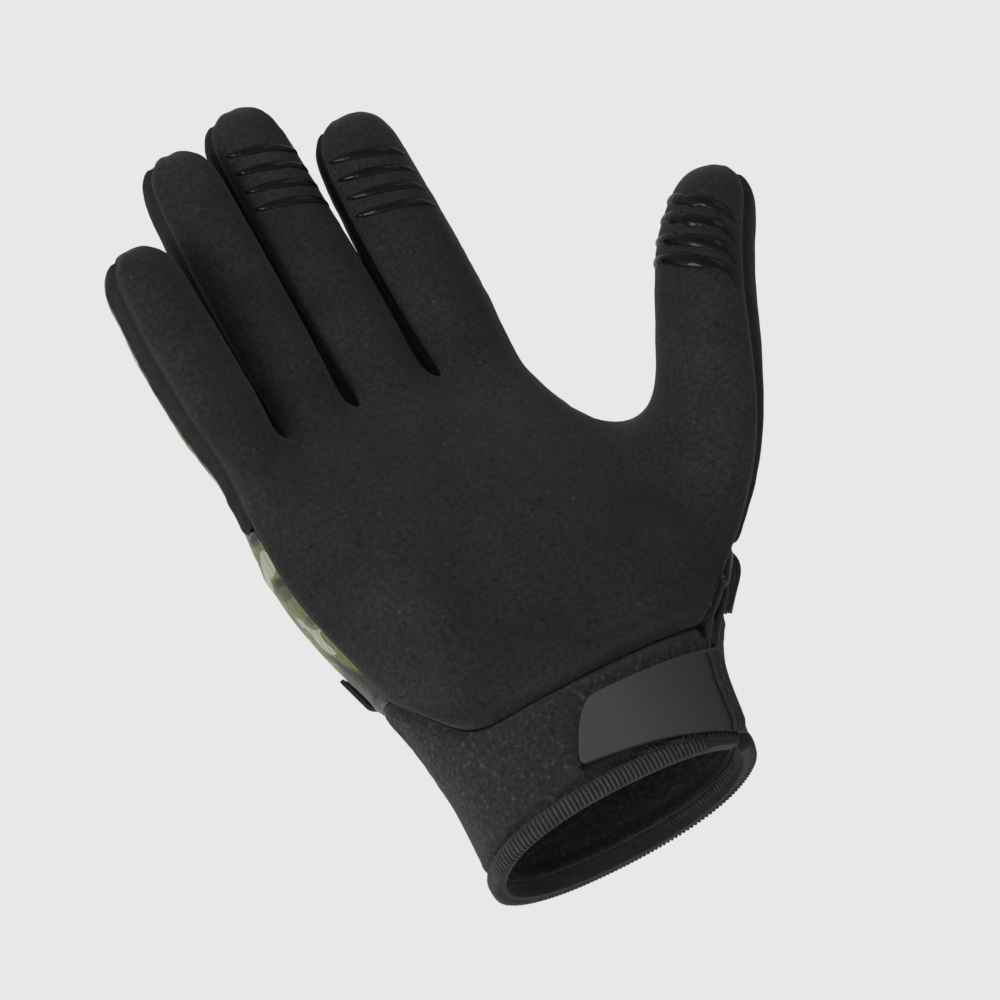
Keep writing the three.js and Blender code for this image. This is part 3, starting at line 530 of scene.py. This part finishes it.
loop_cloth, loop_tree, loop_shader = plain_finish("cuff_loop_cloth", (0.012, 0.012, 0.012), roughness=0.95)
loop_shader.inputs["Sheen Weight"].default_value = 0.06
loop_shader.inputs["Specular IOR Level"].default_value = 0.15
loop_place = add_node(loop_tree, "TexCoord").outputs["Object"]
loop_specks, loop_tone = mottled(loop_tree, loop_place, scale=900, detail=3, colours=CUFF_TONES)
loop_tree.links.new(loop_tone.outputs["Color"], loop_shader.inputs["Base Color"])
embossed(loop_tree, loop_shader, loop_specks.outputs["Fac"], distance=0.0006, strength=0.8)

cuff_front = sewn_panel(
    "cuff_palm_cloth", "cuff_palm_side", CUFF_WALL, levels=3, relief=cuff_relief, finish=loop_cloth)
cuff_rear = sewn_panel(
    "cuff_back_cloth", "cuff_back", CUFF_WALL, levels=3, relief=cuff_relief, finish=loop_cloth)


# The closure tab: a flat moulded rubber end on the strap that closes the wrist, with eased edges and a plain
# matt skin, painted darker towards the slit as painted shade. It wraps round the palm side of the cuff.
TAB_EASING = 0.0004
TAB_TONES = [(0.3, (0.022, 0.022, 0.0224)), (0.7, (0.026, 0.026, 0.0264))]
TAB_PAINTED_SHADE_SPAN = (0.002, 0.029)
FLAT_FOLD = radians(30)
HARD_EDGE = radians(50)


def whole_piece(name, node, levels, finish, easing=0.0, shift=None):
    """A small piece made from all of its solid, its hard edges eased and its faces made smooth. A second
    layer of the same form is shifted aside and stands in for no solid."""
    bm = bmesh.new()
    bm.from_mesh(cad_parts[node].data)
    bmesh.ops.remove_doubles(bm, verts=bm.verts, dist=WELD)
    bmesh.ops.join_triangles(bm, faces=bm.faces, angle_face_threshold=FLAT_FOLD, angle_shape_threshold=pi)
    if easing:
        corners = [edge for edge in bm.edges if edge.is_manifold and edge.calc_face_angle() > HARD_EDGE]
        bmesh.ops.bevel(
            bm, geom=corners, offset=easing, segments=2, profile=0.5, affect="EDGES", material=-1,
            clamp_overlap=True)
    if shift:
        bmesh.ops.translate(bm, verts=bm.verts, vec=shift)
    piece = finished(name, bm, finish)
    smoother = piece.modifiers.new("smooth", "SUBSURF")
    smoother.levels = levels
    smoother.render_levels = levels
    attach(piece, "root")
    if not shift:
        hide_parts(node)
    return piece


rubber, rubber_tree, rubber_shader = plain_finish("tab_rubber", (0.03, 0.03, 0.03), roughness=0.6)
rubber_shader.inputs["Specular IOR Level"].default_value = 0.3
rubber_place = add_node(rubber_tree, "TexCoord").outputs["Object"]
_, rubber_tone = mottled(rubber_tree, rubber_place, scale=60, detail=4, colours=TAB_TONES)
rubber_across = add_node(rubber_tree, "SeparateXYZ", Vector=rubber_place).outputs["X"]
# painted shade: the rubber's colour is darkened towards the slit, where the tab turns away from the light
painted_tab_shade = stretched(rubber_tree, rubber_across, *TAB_PAINTED_SHADE_SPAN, before=1, after=0.33)
rubber_colour = shaded(rubber_tree, rubber_tone.outputs["Color"], painted_tab_shade)
rubber_tree.links.new(rubber_colour, rubber_shader.inputs["Base Color"])
rubber_grain = add_node(rubber_tree, "TexNoise", Vector=rubber_place, Scale=2500, Detail=2).outputs["Fac"]
embossed(rubber_tree, rubber_shader, rubber_grain, distance=0.0001, strength=0.25)

whole_piece(
    "closure_tab_rubber", "closure_tab", levels=1, finish=rubber, easing=TAB_EASING)


# The bindings: the folded tape of the hem, the bead that binds the slit, the loop of tape at the slit's top
# that helps pull the glove on, and the small folded tape sewn in at the cuff's outer side.
HEM_EASING = 0.0003
TAPE_EASING = 0.0002
TAPE_TONES = [(0.3, (0.0065, 0.0065, 0.0065)), (0.7, (0.0125, 0.0125, 0.0125))]
LAYER_SHIFT = (-0.0013, -0.0004, 0.0003)

tape, tape_tree, tape_shader = plain_finish("binding_tape", (0.008, 0.008, 0.008), roughness=0.8)
tape_shader.inputs["Sheen Weight"].default_value = 0.05
tape_shader.inputs["Specular IOR Level"].default_value = 0.2
tape_place = add_node(tape_tree, "TexCoord").outputs["Object"]
_, tape_tone = mottled(tape_tree, tape_place, scale=400, detail=3, colours=TAPE_TONES)
tape_tree.links.new(tape_tone.outputs["Color"], tape_shader.inputs["Base Color"])
tape_grain = add_node(tape_tree, "TexNoise", Vector=tape_place, Scale=1200, Detail=3).outputs["Fac"]
embossed(tape_tree, tape_shader, tape_grain, distance=0.0003, strength=0.5)

hem = whole_piece(
    "cuff_hem_binding", "cuff_hem", levels=1, finish=tape, easing=HEM_EASING)
whole_piece("slit_bead", "slit_binding", levels=1, finish=tape)
whole_piece("pull_loop_tape", "pull_loop", levels=2, finish=tape, easing=TAPE_EASING)
whole_piece(
    "pull_loop_underlayer", "pull_loop", levels=2, finish=tape, easing=TAPE_EASING,
    shift=LAYER_SHIFT)
whole_piece("side_tape_fold", "side_tape", levels=1, finish=tape, easing=TAPE_EASING)


# The hem's overlock: thick textured thread that runs over the cuff's lower edge in close slanted loops, held
# together along the hem's upper edge by a chain of the same thread. Next to the slit the hem is left plain.
HEM_WALL = 0.0032
PLAIN_END = 0.012
OVERLOCK_PITCH = 0.00115
OVERLOCK_RADIUS = 0.00045
OVERLOCK_SLANT = 0.001
OVERLOCK_LOOSENESS = 0.000075
LOOSENESS_CHANGES = 0.7
ROUND_THE_EDGE = ((0.0011, -0.0002), (0.0026, 0.0005), (0.0032, 0.0032))
CHAIN_RADIUS = 0.0003
CHAIN_TURNS = ((0.0001, -0.0001), (-0.0001, 0.00035))
THREAD_TONES = [(0.3, (0.01, 0.01, 0.01)), (0.7, (0.026, 0.026, 0.0262))]


def grid_rows(bm):
    """The points and normals of an open face that is a plain grid, row by row along its longer side, from
    the lowest row up and from the palm side to the back."""
    corner = next(vert for vert in bm.verts if len(vert.link_edges) == 2)
    sides = []
    for edge in corner.link_edges:
        side = [corner, edge.other_vert(corner)]
        while len(side[-1].link_edges) > 2:
            side.append(next(
                other.other_vert(side[-1]) for other in side[-1].link_edges
                if other.is_boundary and other.other_vert(side[-1]) is not side[-2]))
        sides.append(side)
    rows = [max(sides, key=len)]
    used = set(rows[0])
    while True:
        after = [
            next((
                edge.other_vert(vert) for edge in vert.link_edges if edge.other_vert(vert) not in used), None)
            for vert in rows[-1]]
        if None in after:
            break
        used.update(after)
        rows.append(after)
    if rows[0][0].co.z > rows[-1][0].co.z:
        rows.reverse()
    if rows[0][0].co.y > rows[0][-1].co.y:
        rows = [row[::-1] for row in rows]
    return [[(vert.co.copy(), vert.normal.copy()) for vert in row] for row in rows]


def grid_length(rows):
    """The length of such a grid's lowest row."""
    return sum((b - a).length for (a, _), (b, _) in zip(rows[0], rows[0][1:]))


def grid_point(rows, share, row, lift=0.0):
    """A point of such a grid by its share of the way along a row, and its normal."""
    at = max(0.0, min(1.0, share)) * (len(rows[row]) - 1)
    before = min(int(at), len(rows[row]) - 2)
    (a, a_normal), (b, b_normal) = rows[row][before:before + 2]
    normal = a_normal.lerp(b_normal, at - before).normalized()
    return a.lerp(b, at - before) + normal * lift, normal


def threads(name, paths, radius, finish):
    """Sewing thread: one curve with a round section and a spline for each path."""
    data = bpy.data.curves.new(name, "CURVE")
    data.dimensions = "3D"
    data.bevel_depth = radius
    data.bevel_resolution = 1
    data.use_fill_caps = True
    for path in paths:
        spline = data.splines.new("POLY")
        spline.points.add(len(path) - 1)
        for point, place in zip(spline.points, path):
            point.co = (*place, 1)
        spline.use_smooth = True
    data.materials.append(finish)
    piece = bpy.data.objects.new(name, data)
    bpy.context.scene.collection.objects.link(piece)
    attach(piece, "root")


thread, thread_tree, thread_shader = plain_finish("sewing_thread", (0.016, 0.016, 0.016), roughness=0.75)
thread_shader.inputs["Specular IOR Level"].default_value = 0.25
thread_place = add_node(thread_tree, "TexCoord").outputs["Object"]
_, thread_tone = mottled(thread_tree, thread_place, scale=500, detail=3, colours=THREAD_TONES)
thread_tree.links.new(thread_tone.outputs["Color"], thread_shader.inputs["Base Color"])

hem_rows = grid_rows(refined(outer_face("cuff_hem", HEM_WALL), levels=2))
hem_length = grid_length(hem_rows)
overlock = []
for number in range(int((hem_length - PLAIN_END) / OVERLOCK_PITCH)):
    run = PLAIN_END + number * OVERLOCK_PITCH
    loose = OVERLOCK_LOOSENESS * noise.noise(Vector((number * LOOSENESS_CHANGES, 0, 0)))
    path = []
    for row in range(len(hem_rows) - 1, -1, -1):
        slanted = run + OVERLOCK_SLANT * row / (len(hem_rows) - 1)
        path.append(grid_point(hem_rows, slanted / hem_length, row, loose)[0])
    low, out = grid_point(hem_rows, run / hem_length, 0)
    for inwards, upwards in ROUND_THE_EDGE:
        path.append(low - out * inwards + Vector((0, 0, upwards)))
    overlock.append(path)
threads("hem_overlock", overlock, OVERLOCK_RADIUS, thread)

chain = []
for number in range(int((hem_length - PLAIN_END) / OVERLOCK_PITCH * 2)):
    top, out = grid_point(hem_rows, (PLAIN_END + number * OVERLOCK_PITCH / 2) / hem_length, -1)
    outwards, upwards = CHAIN_TURNS[number % 2]
    chain.append(top + out * outwards + Vector((0, 0, upwards)))
threads("hem_chain", [chain], CHAIN_RADIUS, thread)


# The strap under the rubber tab: it shows as a narrow woven edge below the tab, which a zigzag of thick
# thread binds. The edge lies on the hem and the cuff, and it frays a little.
TAB_WALL = 0.0015
STRAP_WALL = 0.0005
STRAP_SHOWS = 0.0017
STRAP_UNDER = 0.002
STRAP_COLUMNS = 72
STRAP_ROWS = 4
STRAP_START = 0.01
STRAP_SPAN = 0.97
FRAY = 0.0002
FRAY_CHANGES = 90
FRAY_SEED = 5
FEELER_START = 0.004
FEELER_REACH = 0.012
FEELER_STEP = 0.0006
FEELERS = range(-3, 4)
EMPTY_DEPTH = 0.0053
ZIGZAG_PITCH = 0.0005
ZIGZAG_RADIUS = 0.00026
ZIGZAG_START = 0.012
ZIGZAG_TURNS = (STRAP_SHOWS - 0.0001, 0.0002)
ZIGZAG_WANDER = 0.0004
ZIGZAG_CHANGES = 0.9
ZIGZAG_SEED = 3
ZIGZAG_LIFT = 0.0001

tab_rows = grid_rows(refined(outer_face("closure_tab", TAB_WALL), levels=1))
tab_length = grid_length(tab_rows)
below_tab = []
for lower in (cuff_front, hem):
    evaluated = lower.evaluated_get(bpy.context.evaluated_depsgraph_get())
    below_tab.append(BVHTree.FromObject(evaluated, bpy.context.evaluated_depsgraph_get()))


def under_tab(share, down, lift):
    """A point of the strap's edge: some way down from the tab's lower edge, laid on whatever is under it."""
    low, out = grid_point(tab_rows, share, 0)
    downwards = (low - grid_point(tab_rows, share, 1)[0]).normalized()
    start = low + downwards * down + out * FEELER_START
    side = downwards.cross(out) * FEELER_STEP
    depths = []
    for step in FEELERS:
        hits = [tree.ray_cast(start + side * step, -out, FEELER_REACH)[3] for tree in below_tab]
        depths.append(min((depth for depth in hits if depth is not None), default=EMPTY_DEPTH))
    return start - out * (sum(depths) / len(depths) - lift)


def strap_place(share, across):
    """Where a point of the strap's edge lies: from under the tab down to its frayed border."""
    fray = FRAY * noise.noise(Vector((share * FRAY_CHANGES, 0, FRAY_SEED)))
    down = -STRAP_UNDER + (STRAP_UNDER + STRAP_SHOWS + fray) * across
    return under_tab(STRAP_START + STRAP_SPAN * share, down, STRAP_WALL)


def laid_strip(name, columns, rows, place, outwards, wall, finish):
    """A strip of cloth or tape: a grid whose points are laid by their shares of its length and breadth. The
    shares stay with it as its own map, and its middle faces outwards."""
    bm = bmesh.new()
    bmesh.ops.create_grid(bm, x_segments=columns, y_segments=rows, size=0.5)
    shares = bm.loops.layers.uv.new("shares")
    for face in bm.faces:
        for loop in face.loops:
            loop[shares].uv = (loop.vert.co.x + 0.5, loop.vert.co.y + 0.5)
    for vert in bm.verts:
        vert.co = place(vert.co.x + 0.5, vert.co.y + 0.5)
    bm.normal_update()
    if sum(face.normal.dot(outwards) for face in bm.faces) < 0:
        bmesh.ops.reverse_faces(bm, faces=bm.faces)
    piece = finished(name, bm, finish)
    thickened(piece, wall)
    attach(piece, "root")
    return piece


strap_out = grid_point(tab_rows, 0.5, 0)[1]
laid_strip("strap_edge", STRAP_COLUMNS, STRAP_ROWS, strap_place, strap_out, STRAP_WALL, tape)
zigzag = []
for number in range(int(tab_length * STRAP_SPAN / ZIGZAG_PITCH)):
    wander = ZIGZAG_WANDER * noise.noise(Vector((number * ZIGZAG_CHANGES, ZIGZAG_SEED, 0)))
    share = ZIGZAG_START + number * ZIGZAG_PITCH / tab_length
    zigzag.append(under_tab(share, ZIGZAG_TURNS[number % 2] + wander, STRAP_WALL + ZIGZAG_LIFT))
threads("strap_zigzag", [zigzag], ZIGZAG_RADIUS, thread)


# The slit's edges: the palm side is bound by a flat tape with a thin cord piped along the palm's own edge,
# and the back side by the same tape. Below them the cuff's back ends in a folded band that lies over the
# tab's sewn end, with a piped rim and a row of stitches.
SLIT_REACH = 0.0012
SLIT_FOOT = 0.03
CUFF_SLIT_REACH = 0.0014
CUFF_SLIT_FOOT = 0.018
SEAM_SMOOTHINGS = 8
TAPE_WALL = 0.0004
TAPE_BREADTH = 0.0032
TAPE_END_SHARE = 0.35
TAPE_NARROWS = 0.25
TAPE_ON_PANEL = 0.0004
TAPE_ON_CUFF = 0.0022
TAPE_OVER_BEAD = 0.0008
TAPE_CLIMB = (0, 0.3)
TAPE_INTO_SLIT = 0.0014
TAPE_TURN_IN = (0.65, 1)
TAPE_SUNK = 0.0001
TAPE_COLUMNS = 40
TAPE_ROWS = 8
PIPING_RADIUS = 0.0003
PIPING_INSET = 0.0002
PIPING_LIFT = 0.0007
FOLD_WALL = 0.0008
FOLD_OVER_TAB = 0.0043
FOLD_PAST_TAB = 0.001
FOLD_HEIGHT = 0.0008
FOLD_CLIMB = (0, 0.12)
FOLD_TUCK = 0.0007
FOLD_TURN_IN = (0.75, 1)
FOLD_OFF_TAB = 0.0001
FOLD_HEADING = 0.9
FOLD_COLUMNS = 24
FOLD_ROWS = 10
FOLD_RIM = 0.06
FOLD_RIM_RADIUS = 0.0005
FOLD_SEAM = 0.38
STITCH_LENGTH = 0.0018
STITCH_PAUSE = 0.0009
STITCH_RADIUS = 0.00024
STITCH_STEPS = 3


def seam_path(piece, beside, reach, lowest):
    """The stretch of a panel's edge that runs beside another piece, above some height: each point with the
    panel's normal and the way into the panel, smoothed along the edge."""
    bm = bmesh.new()
    bm.from_mesh(piece.data)
    left = dict.fromkeys(
        edge for edge in bm.edges
        if edge.is_boundary and all(
            vert.co.z > lowest and beside.find_nearest(vert.co, reach)[0] is not None for vert in edge.verts))
    longest = []
    while left:
        edge = next(iter(left))
        del left[edge]
        run = list(edge.verts)
        for _ in range(2):
            while edge := next((other for other in run[-1].link_edges if other in left), None):
                del left[edge]
                run.append(edge.other_vert(run[-1]))
            run.reverse()
        longest = max(longest, run, key=len)
    if longest[0].co.z > longest[-1].co.z:
        longest.reverse()
    path = []
    for vert in longest:
        middle = sum((face.calc_center_median() for face in vert.link_faces), Vector()) / len(vert.link_faces)
        path.append((vert.co.copy(), vert.normal.copy(), (middle - vert.co).normalized()))
    bm.free()
    for _ in range(SEAM_SMOOTHINGS):
        between = [
            tuple((a + 2 * b + c) / 4 for a, b, c in zip(*three)) for three in zip(path, path[1:], path[2:])]
        path = [path[0], *between, path[-1]]
    return path


def tape_place(seam, under):
    """Lays the flat tape along a seam: from its start on the panel, over the bead and into the slit."""
    def place(share, across):
        at = share * (len(seam) - 1)
        before = min(int(at), len(seam) - 2)
        edge, normal, inwards = (a.lerp(b, at - before) for a, b in zip(seam[before], seam[before + 1]))
        fullness = ease(1 - share, 0, TAPE_NARROWS)
        breadth = TAPE_BREADTH * (TAPE_END_SHARE + (1 - TAPE_END_SHARE) * fullness)
        lift = TAPE_OVER_BEAD * ease(across, *TAPE_CLIMB) - TAPE_INTO_SLIT * ease(across, *TAPE_TURN_IN)
        return edge + inwards * (under - (breadth + under) * across) + normal * (lift - TAPE_SUNK)
    return place


def fold_place(share, across):
    """Where a point of the folded band lies: up the tab's sewn end, from its rim to the slit's back edge."""
    at = share * (len(tab_rows) - 1)
    row = min(int(at), len(tab_rows) - 2)
    low, low_out = grid_point(tab_rows, 1, row)
    high, high_out = grid_point(tab_rows, 1, row + 1)
    edge, out = low.lerp(high, at - row), low_out.lerp(high_out, at - row)
    inwards = (grid_point(tab_rows, FOLD_HEADING, row)[0] - low).normalized()
    tucked = ease(across, *FOLD_TURN_IN)
    lift = FOLD_HEIGHT * ease(across, *FOLD_CLIMB) * (1 - tucked) - FOLD_TUCK * tucked + FOLD_OFF_TAB
    return edge + inwards * (FOLD_OVER_TAB - (FOLD_OVER_TAB + FOLD_PAST_TAB) * across) + out * lift


def stitches(path):
    """Short paths of one stitch each, evenly along a longer path."""
    step = STITCH_LENGTH / STITCH_STEPS
    points = []
    carry = 0.0
    for a, b in zip(path, path[1:]):
        reach = (b - a).length
        while carry < reach:
            points.append(a.lerp(b, carry / reach))
            carry += step
        carry -= reach
    every = round((STITCH_LENGTH + STITCH_PAUSE) / step)
    return [points[at:at + STITCH_STEPS + 1] for at in range(0, len(points) - STITCH_STEPS - 1, every)]


bm = bmesh.new()
bm.from_mesh(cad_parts["slit_binding"].data)
slit_tree = BVHTree.FromBMesh(bm)
bm.free()
palm_seam = seam_path(palm, slit_tree, SLIT_REACH, SLIT_FOOT)
rear_seam = seam_path(cuff_rear, slit_tree, SLIT_REACH, SLIT_FOOT)
front_seam = seam_path(cuff_front, slit_tree, CUFF_SLIT_REACH, CUFF_SLIT_FOOT)
for tape_name, seam, under in (
        ("slit_tape_palm", palm_seam, TAPE_ON_PANEL),
        ("slit_tape_back", rear_seam, TAPE_ON_PANEL),
        ("slit_tape_cuff", front_seam, TAPE_ON_CUFF)):
    tape_out = seam[len(seam) // 2][1]
    laid_strip(
        tape_name, TAPE_COLUMNS, TAPE_ROWS, tape_place(seam, under), tape_out, TAPE_WALL, tape)
piping = [place + inwards * PIPING_INSET + normal * PIPING_LIFT for place, normal, inwards in palm_seam]
threads("slit_piping", [piping], PIPING_RADIUS, thread)

fold_out = grid_point(tab_rows, 1, 0)[1]
laid_strip(
    "slit_fold", FOLD_COLUMNS, FOLD_ROWS, fold_place, fold_out, FOLD_WALL, loop_cloth)
fold_rim = [fold_place(number / FOLD_COLUMNS, FOLD_RIM) for number in range(FOLD_COLUMNS + 1)]
fold_seam = [fold_place(number / FOLD_COLUMNS, FOLD_SEAM) for number in range(FOLD_COLUMNS + 1)]
threads("fold_piping", [fold_rim], FOLD_RIM_RADIUS, tape)
threads("fold_stitches", stitches(fold_seam), STITCH_RADIUS, thread)


# The grip stripes: crescents of clear black silicone printed thick on the fingertips and the thumb, so that
# the brake levers and the shifters don't slip. Each is a low ridge whose upper flank, towards the fingertip,
# is painted dark as painted shade, and whose lower side is lighter, thin enough for the suede to show
# through.
STRIPE_WALL = 0.0003
STRIPE_RISE = 0.00065
STRIPE_END_RISE = 0.35
STRIPE_ROOT = 0.0002
STRIPE_ARCH = 0.0009
STRIPE_NARROWING = 0.88
STRIPE_END_BREADTH = 0.05
STRIPE_FULLNESS = 0.6
STRIPE_MIDDLE = 0.2
STRIPE_COLUMNS = 28
STRIPE_ROWS = 8
SILICONE_TONES = [(0.3, (0.001, 0.001, 0.001)), (0.7, (0.0022, 0.0022, 0.0022))]

silicone, silicone_tree, silicone_shader = plain_finish(
    "grip_silicone", (0.002, 0.002, 0.002), roughness=0.22)
silicone_shader.inputs["Specular IOR Level"].default_value = 0.1
silicone_places = add_node(silicone_tree, "TexCoord").outputs
_, silicone_tone = mottled(
    silicone_tree, silicone_places["Object"], scale=200, detail=3, colours=SILICONE_TONES)
silicone_across = add_node(silicone_tree, "SeparateXYZ", Vector=silicone_places["UV"]).outputs["Y"]
# painted shade: the ridge's upper flank keeps the dark base colour, while its lower flank is three times
# lighter where the suede shows through
show_through_and_painted_shade = stretched(silicone_tree, silicone_across, start=0.15, end=0.4, before=3, after=1)
silicone_colour = shaded(silicone_tree, silicone_tone.outputs["Color"], show_through_and_painted_shade)
silicone_tree.links.new(silicone_colour, silicone_shader.inputs["Base Color"])
silicone_grain = add_node(silicone_tree, "TexNoise", Vector=silicone_places["Object"], Scale=700, Detail=2)
embossed(silicone_tree, silicone_shader, silicone_grain.outputs["Fac"], distance=0.0004, strength=0.4)

bm = bmesh.new()
bm.from_mesh(palm.data)
pad_tree = BVHTree.FromBMesh(bm)
bm.free()


def printed_stripe(name, node):
    """One stripe: a ridge that takes its ends and its breadth from the solid, arched towards the fingertip,
    broad and thick in its middle and thin at its ends, with its edges sunk into the suede."""
    points = [vert.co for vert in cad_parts[node].data.vertices]
    start, end = max(((a, b) for a in points for b in points), key=lambda pair: (pair[0] - pair[1]).length)
    length = end - start
    _, outwards, _, _ = pad_tree.find_nearest(start.lerp(end, 0.5))
    tipwards = outwards.cross(length).normalized()
    if tipwards.z < 0:
        tipwards.negate()
    heights = [
        (point - start).dot(tipwards) for point in points
        if abs((point - start).dot(length) / length.length_squared - 0.5) < STRIPE_MIDDLE]
    full_breadth = (max(heights) - min(heights)) * STRIPE_NARROWING
    arch = (max(heights) + min(heights)) / 2 + STRIPE_ARCH

    def place(share, across):
        middle = max(4 * share * (1 - share), 0.0)
        ridge = max(4 * across * (1 - across), 0.0) ** 0.5
        breadth = full_breadth * (STRIPE_END_BREADTH + (1 - STRIPE_END_BREADTH) * middle ** STRIPE_FULLNESS)
        flat = start.lerp(end, share) + tipwards * (arch * middle + breadth * (across - 0.5))
        spot, normal, _, _ = pad_tree.find_nearest(flat)
        rise = STRIPE_RISE * (STRIPE_END_RISE + (1 - STRIPE_END_RISE) * middle)
        return spot + normal * (rise * ridge - STRIPE_ROOT * (1 - ridge))

    stripe = laid_strip(
        name, STRIPE_COLUMNS, STRIPE_ROWS, place, outwards, STRIPE_WALL, silicone)
    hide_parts(node)


for finger in ("index", "middle", "thumb"):
    for number in range(1, 5):
        stripe_node = f"grip_stripe_{finger}_{number}"
        printed_stripe(stripe_node + "_silicone", stripe_node)
